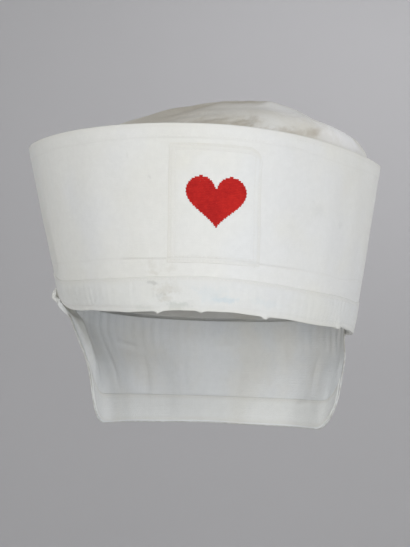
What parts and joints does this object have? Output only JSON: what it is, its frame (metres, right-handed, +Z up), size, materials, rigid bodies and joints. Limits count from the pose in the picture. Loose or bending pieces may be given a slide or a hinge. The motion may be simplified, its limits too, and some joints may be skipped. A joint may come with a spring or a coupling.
{
  "type": "nurse's cap",
  "caption": "Starched linen nurse's cap as worn: a deep flared cuff with an oblong patch, a soft puffed crown inside it and a curtain over the nape.",
  "frame": {"origin": "middle of the head opening, level with the front of the cuff's lower edge", "axes": "+Z up, the wearer looks along -Y, and +X is the wearer's left"},
  "size_m": [0.214, 0.238, 0.1971],
  "materials": {
    "starched_linen": "starched plain weave, matt with a faint ironed sheen",
    "soft_linen": "soft plain weave, matt, slightly greyed",
    "woven_patch": "close weave, matt, with a red woven heart"
  },
  "bodies": {
    "root": {"cuff": "starched_linen", "cuff_lower_band": "starched_linen", "badge_patch": "woven_patch", "crown": "soft_linen", "neck_flap": "soft_linen", "neck_flap_hem": "soft_linen"}
  },
  "joints": []
}
